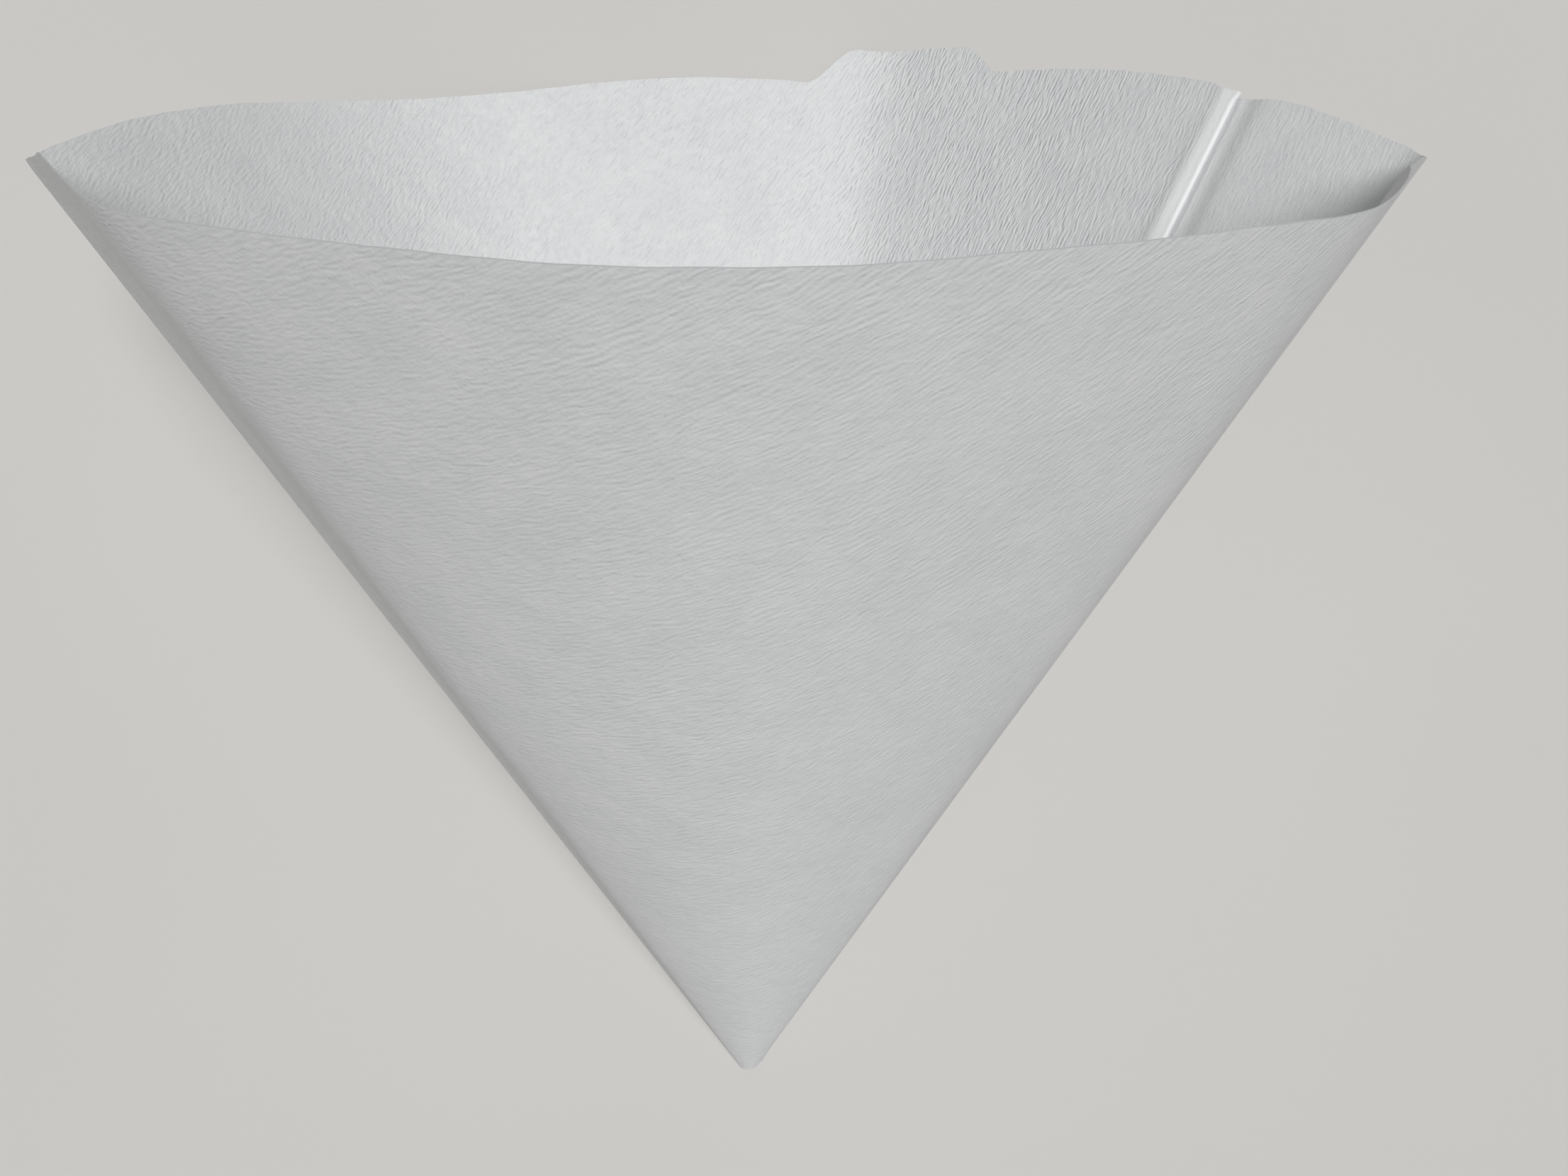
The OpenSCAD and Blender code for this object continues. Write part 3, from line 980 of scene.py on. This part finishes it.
def mesh_from(shell: ShellTopology, name: str) -> bpy.types.Mesh:
    """Makes a Blender mesh of the shell, whose UV map is the flat sheet.

    Args:
        shell: The numbered points and faces, in millimetres.
        name: The mesh's name.

    Returns:
        The mesh in metres. The wall is smooth-shaded, and the crimp's pressed ridges and the
        cut edge are flat, with sharp edges that keep them from tilting the wall's normals.
    """
    points = np.concatenate(shell.points) * MM
    flats = np.concatenate(shell.flats)
    quads, tris = np.vstack(shell.quads), np.vstack(shell.tris)
    loops = np.concatenate([quads[:, :4].ravel(), tris[:, :3].ravel()])
    starts = np.concatenate([np.arange(len(quads)) * 4, len(quads) * 4 + np.arange(len(tris)) * 3])
    totals = np.concatenate([np.full(len(quads), 4), np.full(len(tris), 3)])
    mesh = bpy.data.meshes.new(name)
    mesh.vertices.add(len(points))
    mesh.vertices.foreach_set("co", points.astype(np.float32).ravel())
    mesh.loops.add(len(loops))
    mesh.loops.foreach_set("vertex_index", loops.astype(np.int32))
    mesh.polygons.add(len(starts))
    mesh.polygons.foreach_set("loop_start", starts.astype(np.int32))
    mesh.polygons.foreach_set("loop_total", totals.astype(np.int32))
    slots = np.concatenate([quads[:, 4], tris[:, 3]]).astype(np.int32)
    mesh.polygons.foreach_set("material_index", slots)
    creased = slots != PaperSlot.WALL
    mesh.polygons.foreach_set("use_smooth", ~creased)
    uv = mesh.uv_layers.new(name=UV_NAME)
    uv.data.foreach_set("uv", flat_to_uv(flats[loops]).astype(np.float32).ravel())
    mesh.update(calc_edges=True)
    edge_of_corner = np.empty(len(loops), dtype=np.int32)
    mesh.loops.foreach_get("edge_index", edge_of_corner)
    sharp = np.zeros(len(mesh.edges), dtype=bool)
    sharp[edge_of_corner[np.repeat(creased, totals)]] = True
    mesh.edges.foreach_set("use_edge_sharp", sharp)
    mesh.validate()
    return mesh


def flat_to_uv(flat: Array) -> Array:
    """Returns UV places of flat-sheet places in millimetres, so that the sheet fits in 0 to 1."""
    return flat / UV_SPAN + np.array(UV_ORIGIN)


class Graph:
    """A small helper that adds shader nodes and links them.

    An input is fed a socket, which is linked, or a number, vector or colour, which is set.
    """

    ROW = 8
    STEP_X, STEP_Y = 200, -260

    def __init__(self, tree: bpy.types.NodeTree) -> None:
        """Keeps the tree.

        Args:
            tree: A material's tree or a group's.
        """
        self.tree = tree
        self.placed = 0

    def node(
        self, kind: str, inputs: dict[str | int, Fed] | None = None, **settings: object
    ) -> bpy.types.Node:
        """Adds a node.

        Args:
            kind: The node's type name.
            inputs: Values or sockets for its inputs, by name or number.
            **settings: Attributes of the node.

        Returns:
            The node.
        """
        made = self.tree.nodes.new(kind)
        row, place = divmod(self.placed, self.ROW)
        made.location = (self.STEP_X * place, self.STEP_Y * row)
        self.placed += 1
        for key, value in settings.items():
            setattr(made, key, value)
        for key, value in (inputs or {}).items():
            self.feed(made.inputs[key], value)
        return made

    def feed(self, socket: Socket, value: Fed) -> None:
        """Feeds an input.

        Args:
            socket: The input socket.
            value: The socket to link to it, or the value to set.
        """
        if isinstance(value, Socket):
            self.tree.links.new(value, socket)
        else:
            socket.default_value = value

    def math(self, operation: str, *values: Fed) -> Socket:
        """Returns the output of a Math node on the given values or sockets."""
        made = self.node("ShaderNodeMath", dict(enumerate(values)), operation=operation)
        return made.outputs[0]

    def vector(self, operation: str, *values: Fed) -> Socket:
        """Returns the vector output of a Vector Math node."""
        made = self.node("ShaderNodeVectorMath", dict(enumerate(values)), operation=operation)
        return made.outputs[0]

    def noise(self, place: Fed, scale: float, detail: float) -> Socket:
        """Returns a noise texture's value from 0 to 1 at a place."""
        values = {"Vector": place, "Scale": scale, "Detail": detail}
        return self.node("ShaderNodeTexNoise", values).outputs[0]

    def span(
        self, value: Fed, low: float, high: float, to: tuple[float, float] = (0.0, 1.0)
    ) -> Socket:
        """Maps a value from one span to another, clamped.

        Args:
            value: The value.
            low: The value that gives the first number of the new span.
            high: The value that gives its second number.
            to: The new span.

        Returns:
            The mapped value's socket.
        """
        values = {"Value": value, "From Min": low, "From Max": high}
        values |= {"To Min": to[0], "To Max": to[1]}
        return self.node("ShaderNodeMapRange", values).outputs[0]

    def group(self, tree: bpy.types.NodeTree, sheet: Socket) -> bpy.types.NodeOutputs:
        """Places a shared group at a place on the flat sheet and returns its outputs."""
        return self.node("ShaderNodeGroup", {0: sheet}, node_tree=tree).outputs

    def blend(self, share: Fed, a: Fed, b: Fed) -> Socket:
        """Mixes two colours.

        Args:
            share: How much of the second colour there is.
            a: The first colour.
            b: The second colour.

        Returns:
            The mixed colour's socket.
        """
        made = self.node("ShaderNodeMix", data_type="RGBA")
        self.feed(made.inputs[0], share)
        self.feed(made.inputs[6], a)
        self.feed(made.inputs[7], b)
        return made.outputs[2]


def new_group(name: str, outputs: tuple[str, ...]) -> tuple[Graph, Socket, bpy.types.Node]:
    """Makes a node group whose one input is the place on the flat sheet, in millimetres.

    Args:
        name: The group's name.
        outputs: Names of its number outputs.

    Returns:
        The group's graph, its place socket, and its output node.
    """
    tree = bpy.data.node_groups.new(name, "ShaderNodeTree")
    tree.interface.new_socket("Sheet", in_out="INPUT", socket_type="NodeSocketVector")
    for label in outputs:
        tree.interface.new_socket(label, in_out="OUTPUT", socket_type="NodeSocketFloat")
    graph = Graph(tree)
    entry = graph.node("NodeGroupInput")
    out = graph.node("NodeGroupOutput")
    return graph, entry.outputs["Sheet"], out


class Pressed(NamedTuple):
    """A stretch of turns over which the share of the crepe that is left changes.

    Attributes:
        first: The turn from the seam, in degrees, at which it starts.
        last: The turn at which it ends.
        left: The shares before and after it.
    """

    first: float
    last: float
    left: tuple[float, float]


# Towards the sharp crease, on the front wall, beside the seam and past the blunt crease.
PRESSED = (
    Pressed(44.0, 64.0, (1.0, 0.45)),
    Pressed(77.0, 83.0, (1.0, 0.75)),
    Pressed(2.0, 12.0, (0.5, 1.0)),
    Pressed(160.0, 168.0, (1.0, 0.8)),
)


def pressing(graph: Graph, sheet: Socket) -> Socket:
    """Works out how much of the crepe is left where folds and other layers press it flatter.

    Args:
        graph: The graph that gets the nodes.
        sheet: The place on the flat sheet, in millimetres.

    Returns:
        The share of the crepe: the product of all the stretches' shares.
    """
    parts = graph.node("ShaderNodeSeparateXYZ", {0: sheet}).outputs
    turn = graph.math("DEGREES", graph.math("ARCTAN2", parts["Y"], parts["X"]))
    left, *others = (graph.span(turn, *stretch) for stretch in PRESSED)
    for share in others:
        left = graph.math("MULTIPLY", left, share)
    return left


class CrepeLayer(NamedTuple):
    """One drawing of the crepe's ridges.

    Attributes:
        stretch: Noise cells in a millimetre, along the seam's direction and across it.
        share: Its share of the height.
        shift: How far its noise is shifted, so that the drawings differ.
    """

    stretch: tuple[float, float, float]
    share: float
    shift: float


CREPE_LAYERS = (
    CrepeLayer((0.85, 3.4, 1.0), 1.0, 0.0),
    CrepeLayer((0.35, 1.5, 1.0), 0.35, 31.0),
)
CREPE_SPREAD = (0.25, 0.75)
WAVER_SCALE, WAVER_MM = 0.35, 0.7
PATCH_SCALE, PATCH_SPREAD, PATCH_LEFT = 0.05, (0.35, 0.62), (0.75, 1.0)
FIBRE_SCALE, FIBRE_SHARE = 3.2, 0.3


def crepe_group() -> bpy.types.NodeTree:
    """Makes the crepe's relief: short wavy ridges that run along the seam's direction.

    The ridges are noise that is stretched along that direction and wavers across it. They are
    lower in patches and where the sheet is pressed, and fine fibres lie on top.

    Returns:
        A group that gives the relief's height, from about 0 to 1, at a place on the flat sheet.
    """
    graph, sheet, out = new_group("crepe_relief", ("Height",))
    waver = {"Vector": sheet, "Scale": WAVER_SCALE, "Detail": 1.0}
    waver = graph.node("ShaderNodeTexNoise", waver).outputs["Color"]
    bent = graph.vector("SUBTRACT", waver, (0.5, 0.5, 0.5))
    bent = graph.vector("MULTIPLY", bent, (0.0, WAVER_MM, 0.0))
    place = graph.vector("ADD", sheet, bent)
    total = 0.0
    for layer in CREPE_LAYERS:
        drawn = graph.vector("MULTIPLY", place, layer.stretch)
        drawn = graph.vector("ADD", drawn, (layer.shift, layer.shift, 0.0))
        ridges = graph.span(graph.noise(drawn, 1.0, 0.0), *CREPE_SPREAD)
        total = graph.math("MULTIPLY_ADD", ridges, layer.share, total)
    patch = graph.span(graph.noise(sheet, PATCH_SCALE, 2.0), *PATCH_SPREAD, PATCH_LEFT)
    total = graph.math("MULTIPLY", total, patch)
    total = graph.math("MULTIPLY", total, pressing(graph, sheet))
    fibres = graph.noise(sheet, FIBRE_SCALE, 1.0)
    total = graph.math("MULTIPLY_ADD", fibres, FIBRE_SHARE, total)
    graph.feed(out.inputs["Height"], total)
    return graph.tree


WIDE_SCALE, WIDE_SHARE = 0.16, 0.55
CLOSE_SCALE, CLOSE_SHARE = 0.75, 0.45
CLOUD_SPREAD = (0.36, 0.64)
FLECK_SCALE, FLECK_SPREAD = 4.2, (0.57, 0.68)
GATHER_SCALE, GATHER_SPREAD, GATHER_DROP = 0.32, (0.35, 0.65), (0.06, 0.0)


def formation_group() -> bpy.types.NodeTree:
    """Makes the paper's formation: soft clouds of thicker and thinner fibre, and flecks.

    The clouds are a wide and a close noise. The flecks are the peaks of a fine noise, which is
    lowered between the places where they gather.

    Returns:
        A group that gives clouds and flecks from 0 to 1 at a place on the flat sheet.
    """
    graph, sheet, out = new_group("paper_formation", ("Cloud", "Fleck"))
    wide = graph.math("MULTIPLY", graph.noise(sheet, WIDE_SCALE, 3.0), WIDE_SHARE)
    close = graph.noise(sheet, CLOSE_SCALE, 3.0)
    cloud = graph.math("MULTIPLY_ADD", close, CLOSE_SHARE, wide)
    graph.feed(out.inputs["Cloud"], graph.span(cloud, *CLOUD_SPREAD))
    fine = graph.noise(sheet, FLECK_SCALE, 2.0)
    drop = graph.span(graph.noise(sheet, GATHER_SCALE, 1.0), *GATHER_SPREAD, GATHER_DROP)
    fine = graph.math("SUBTRACT", fine, drop)
    graph.feed(out.inputs["Fleck"], graph.span(fine, *FLECK_SPREAD))
    return graph.tree


# The roll and the band beside it are whiter where the paper is doubled, and that whiteness is
# partly a painted highlight.
ROLL_FADE = (2.6, 1.5)
BESIDE_FADE, BESIDE_SHARE = (2.2, 1.3), 0.4
# Fade of the thin line beside the roll: painted shadow of the crevice where the roll presses on
# the wall.
SHADOW_LINE_FADE = (0.55, 0.25)


def seam_group() -> bpy.types.NodeTree:
    """Makes the masks of the rolled seam, where doubled paper looks whiter and a highlight is
    painted in.

    Each mask fades out between two distances from the seam, in millimetres.

    Returns:
        A group that gives 1 on the roll, less on the band beside it, and 0 elsewhere, whose
        whiteness is partly a painted highlight; and a thin line of painted shadow in the crevice
        where the roll presses on the wall.
    """
    graph, sheet, out = new_group("doubled_seam_painted_light", ("DoubledAndHighlight", "Pressed"))
    parts = graph.node("ShaderNodeSeparateXYZ", {0: sheet}).outputs
    away = graph.math("ABSOLUTE", parts["Y"])
    roll = graph.span(away, *ROLL_FADE)
    beside = graph.span(away, *BESIDE_FADE, (0.0, BESIDE_SHARE))
    on_roll = graph.math("GREATER_THAN", parts["X"], 0.0)
    total = graph.node("ShaderNodeMix", {0: on_roll, 2: beside, 3: roll}).outputs[0]
    graph.feed(out.inputs["DoubledAndHighlight"], total)
    # The Pressed output is painted shadow: a darker line in the crevice on the wall's side of the
    # roll.
    pressed = graph.math("SUBTRACT", 1.0, on_roll)
    line = graph.math("MULTIPLY", graph.span(away, *SHADOW_LINE_FADE), pressed)
    graph.feed(out.inputs["Pressed"], line)
    return graph.tree


@dataclass(frozen=True)
class PaperLook:
    """How one kind of the sheet's surface looks.

    Attributes:
        light: Colour where the fibre is thick.
        thin: Colour where it is thin.
        relief_mm: Depth of the crepe.
        roughness: Roughness of the surface.
        glow: Share of the light that goes into the paper and comes out around.
        crimp_mm: Depth of the crimp's fine pressed lines.
    """

    light: tuple[float, float, float]
    thin: tuple[float, float, float]
    relief_mm: float
    roughness: float = 0.92
    glow: float = 0.12
    crimp_mm: float = 0.0


class PaperMaterials:
    """Makes the sheet's three materials, in the order of their slots, from shared groups."""

    LOOKS = {
        "filter_paper": PaperLook((0.745, 0.752, 0.754), (0.675, 0.684, 0.692), 0.115),
        "filter_crimp": PaperLook(
            (0.78, 0.79, 0.79), (0.72, 0.73, 0.74), 0.06, roughness=0.85, crimp_mm=0.04
        ),
        # The cut edge's colours are painted shade: darker than the wall, so that the edge facing
        # the lamp shows no bright line.
        "filter_edge_painted_shade": PaperLook(
            (0.56, 0.57, 0.57), (0.52, 0.53, 0.54), 0.04, roughness=0.95, glow=0.0
        ),
    }
    # Whiter colour of the doubled seam: partly doubled paper, partly a painted highlight of the
    # roll.
    DOUBLED_HIGHLIGHT_COLOUR = (0.86, 0.866, 0.866)
    # Colour of the painted shadow line in the crevice beside the roll.
    SHADOW_LINE_COLOUR = (0.6, 0.61, 0.62)
    FLECK_SHARE, CLOUD_SHARE = 0.9, 0.7
    RELIEF_ON_ROLL = 0.3
    CRIMP_LINES_MM = 1.0
    IOR = 1.4
    SPECULAR = 0.25
    GLOW_MM = 0.4

    def __init__(self) -> None:
        """Makes the shared groups."""
        self.crepe = crepe_group()
        self.seam = seam_group()
        self.formation = formation_group()

    def make(self, name: str) -> bpy.types.Material:
        """Makes one of the looks as a material.

        Args:
            name: The look's name.

        Returns:
            The material, driven by the flat sheet's UV map.
        """
        look = self.LOOKS[name]
        material = bpy.data.materials.new(name)
        material.use_nodes = True
        material.node_tree.nodes.clear()
        graph = Graph(material.node_tree)
        uv = graph.node("ShaderNodeUVMap", uv_map=UV_NAME).outputs[0]
        sheet = graph.vector("SUBTRACT", uv, (*UV_ORIGIN, 0.0))
        sheet = graph.vector("MULTIPLY", sheet, (UV_SPAN, UV_SPAN, UV_SPAN))
        crepe = graph.group(self.crepe, sheet)
        formation = graph.group(self.formation, sheet)
        seam = graph.group(self.seam, sheet)
        thinness = graph.math("MULTIPLY", formation["Cloud"], self.CLOUD_SHARE)
        thinness = graph.math("MULTIPLY_ADD", formation["Fleck"], self.FLECK_SHARE, thinness)
        colour = graph.blend(thinness, (*look.light, 1.0), (*look.thin, 1.0))
        # Whiter on the doubled seam: partly doubled paper, partly painted highlight.
        colour = graph.blend(seam["DoubledAndHighlight"], colour, (*self.DOUBLED_HIGHLIGHT_COLOUR, 1.0))
        # Painted shadow in the crevice beside the roll.
        colour = graph.blend(seam["Pressed"], colour, (*self.SHADOW_LINE_COLOUR, 1.0))
        flattened = graph.span(seam["DoubledAndHighlight"], 0.0, 1.0, (1.0, self.RELIEF_ON_ROLL))
        height = graph.math("MULTIPLY", crepe["Height"], flattened)
        values = {"Strength": 1.0, "Distance": look.relief_mm * MM, "Height": height}
        normal = graph.node("ShaderNodeBump", values).outputs[0]
        if look.crimp_mm:
            normal = self._crimp_lines(graph, sheet, look.crimp_mm * MM, normal)
        shader = graph.node("ShaderNodeBsdfPrincipled")
        graph.feed(shader.inputs["Base Color"], colour)
        graph.feed(shader.inputs["Normal"], normal)
        shader.inputs["Roughness"].default_value = look.roughness
        shader.inputs["IOR"].default_value = self.IOR
        shader.inputs["Specular IOR Level"].default_value = self.SPECULAR
        shader.inputs["Subsurface Weight"].default_value = look.glow
        shader.inputs["Subsurface Radius"].default_value = (1.0, 1.0, 1.0)
        shader.inputs["Subsurface Scale"].default_value = self.GLOW_MM * MM
        out = graph.node("ShaderNodeOutputMaterial")
        graph.feed(out.inputs["Surface"], shader.outputs[0])
        return material

    def _crimp_lines(self, graph: Graph, sheet: Socket, depth: float, normal: Socket) -> Socket:
        """Adds fine lines across the strip, as crimping wheels press them.

        Args:
            graph: The material's graph.
            sheet: The place on the flat sheet, in millimetres.
            depth: The lines' depth in metres.
            normal: The normal that they are added to.

        Returns:
            The normal with the lines: a sine wave of the distance from the tip.
        """
        away = graph.node("ShaderNodeVectorMath", {0: sheet}, operation="LENGTH").outputs[1]
        line = graph.math("SINE", graph.math("MULTIPLY", away, 2 * math.pi / self.CRIMP_LINES_MM))
        values = {"Strength": 1.0, "Distance": depth, "Height": line, "Normal": normal}
        return graph.node("ShaderNodeBump", values).outputs[0]


def build_sheet(sizes: SheetSizes, cone: OpenedCone) -> bpy.types.Object:
    """Args:
        sizes: The sheet's sizes.
        cone: The opened cone.

    Returns:
        The object.
    """
    creases = (sizes.seam_turn, sizes.seam_turn + sizes.wall_turn)
    mesher = SheetMesher(sizes, SheetDetails(), cone, Dents(creases))
    mesh = mesh_from(ShellTopology(mesher), "creped_sheet")
    materials = PaperMaterials()
    for name in PaperMaterials.LOOKS:
        mesh.materials.append(materials.make(name))
    sheet = bpy.data.objects.new("creped_sheet", mesh)
    bpy.context.scene.collection.objects.link(sheet)
    LOG.info("sheet: %d points, %d faces", len(mesh.vertices), len(mesh.polygons))
    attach(sheet, "root")
    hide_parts("paper_filter")
    return sheet


class Studio:
    """The pale floor, the soft lamp and the camera."""

    FLOOR_SIZE = 30.0
    FLOOR_COLOUR = (0.62, 0.605, 0.585)
    FLOOR_SHADE = 0.97
    FLOOR_CLOUDS = 9.0
    FAR_LEVEL = 0.935
    KEY_FROM = (0.02, -0.1, 1.0)
    KEY_SPREAD = 24.0
    KEY_LEVEL = 0.8
    AIR_COLOUR = (0.97, 0.985, 1.0)
    AIR_LEVEL = 0.15
    IMAGE_WIDTH = 2212
    FOCAL_PIXELS = 2200
    SENSOR_MM = 36.0
    CAMERA_AT = (-7.15, -150.39, 124.35)
    YAW, PITCH, ROLL = 4.151, 12.539, 0.479
    LOOK_LOWER = 9.7
    CLIP_START = 0.01

    def __init__(self, cone: OpenedCone) -> None:
        """Keeps the cone, whose upright frame the camera was measured in.

        Args:
            cone: The opened cone.
        """
        self.cone = cone

    def floor(self) -> None:
        """Makes the floor that the filter lies on."""
        half = self.FLOOR_SIZE / 2
        square = [(-half, -half, 0), (half, -half, 0), (half, half, 0), (-half, half, 0)]
        mesh = bpy.data.meshes.new("floor")
        mesh.from_pydata(square, [], [(0, 1, 2, 3)])
        material = bpy.data.materials.new("floor_matte")
        material.use_nodes = True
        shader = material.node_tree.nodes["Principled BSDF"]
        graph = Graph(material.node_tree)
        place = graph.node("ShaderNodeTexCoord").outputs["Object"]
        soft = graph.span(graph.noise(place, self.FLOOR_CLOUDS, 2.0), 0.3, 0.7)
        pale = (*self.FLOOR_COLOUR, 1.0)
        deeper = (*(self.FLOOR_SHADE * c for c in self.FLOOR_COLOUR), 1.0)
        graph.feed(shader.inputs["Base Color"], graph.blend(soft, deeper, pale))
        shader.inputs["Roughness"].default_value = 0.9
        shader.inputs["Specular IOR Level"].default_value = 0.2
        mesh.materials.append(material)
        floor = bpy.data.objects.new("floor", mesh)
        bpy.context.scene.collection.objects.link(floor)

    def lamp(self) -> None:
        """Adds a wide far lamp above, which lights the filter and the floor evenly.

        Its level is a share of a white surface's full brightness, and its spread, in degrees,
        sets how soft the shadows are.
        """
        light = bpy.data.lights.new("key_lamp", "SUN")
        light.angle = math.radians(self.KEY_SPREAD)
        light.energy = self.KEY_LEVEL * math.pi
        lamp = bpy.data.objects.new("key_lamp", light)
        lamp.location = Vector(self.KEY_FROM)
        lamp.rotation_mode = "QUATERNION"
        lamp.rotation_quaternion = (-Vector(self.KEY_FROM)).to_track_quat("-Z", "Y")
        bpy.context.scene.collection.objects.link(lamp)

    def world(self) -> None:
        """Lights everything evenly by pale air, which the camera sees in the floor's colour."""
        world = bpy.data.worlds.new("studio_air")
        world.use_nodes = True
        graph = Graph(world.node_tree)
        back = world.node_tree.nodes["Background"]
        back.inputs["Color"].default_value = (*self.AIR_COLOUR, 1.0)
        back.inputs["Strength"].default_value = self.AIR_LEVEL
        pale = graph.node("ShaderNodeBackground", {0: (*self.FLOOR_COLOUR, 1.0)})
        pale.inputs["Strength"].default_value = self.FAR_LEVEL
        seen = graph.node("ShaderNodeLightPath").outputs["Is Camera Ray"]
        both = graph.node("ShaderNodeMixShader", {0: seen, 1: back.outputs[0], 2: pale.outputs[0]})
        graph.feed(world.node_tree.nodes["World Output"].inputs["Surface"], both.outputs[0])
        bpy.context.scene.world = world

    def camera(self) -> None:
        """Sets the camera where the photo's was, as measured from the upright cone.

        It is turned down further than the photo's, so that it sees the filter to its tip.
        """
        yaw, pitch, roll = (math.radians(v) for v in (self.YAW, self.PITCH, self.ROLL))
        pitch += math.radians(self.LOOK_LOWER)
        ahead = np.array(
            [math.sin(yaw) * math.cos(pitch), math.cos(yaw) * math.cos(pitch), -math.sin(pitch)]
        )
        right = np.array([math.cos(yaw), -math.sin(yaw), 0.0])
        up = np.cross(right, ahead)
        rolled_right = math.cos(roll) * right + math.sin(roll) * up
        rolled_up = math.cos(roll) * up - math.sin(roll) * right
        axes = [self.cone.upright_turn(v) for v in (rolled_right, rolled_up, -ahead)]
        turn = Matrix(axes).transposed()
        data = bpy.data.cameras.new("camera")
        data.sensor_width = self.SENSOR_MM
        data.lens = self.FOCAL_PIXELS / self.IMAGE_WIDTH * self.SENSOR_MM
        data.clip_start = self.CLIP_START
        camera = bpy.data.objects.new("camera", data)
        camera.matrix_world = Matrix.Translation(self.cone.upright(self.CAMERA_AT)) @ turn.to_4x4()
        bpy.context.scene.collection.objects.link(camera)
        bpy.context.scene.camera = camera

    def build(self) -> None:
        """Builds the whole studio."""
        self.floor()
        self.lamp()
        self.world()
        self.camera()
        bpy.context.scene.view_settings.view_transform = "Standard"


def main() -> None:
    """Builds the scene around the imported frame."""
    logging.basicConfig(level=logging.INFO, format="%(name)s: %(message)s")
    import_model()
    sizes = SheetSizes()
    cone = OpenedCone(sizes)
    build_sheet(sizes, cone)
    Studio(cone).build()
    bpy.context.view_layer.update()


if __name__ == "__main__":
    main()
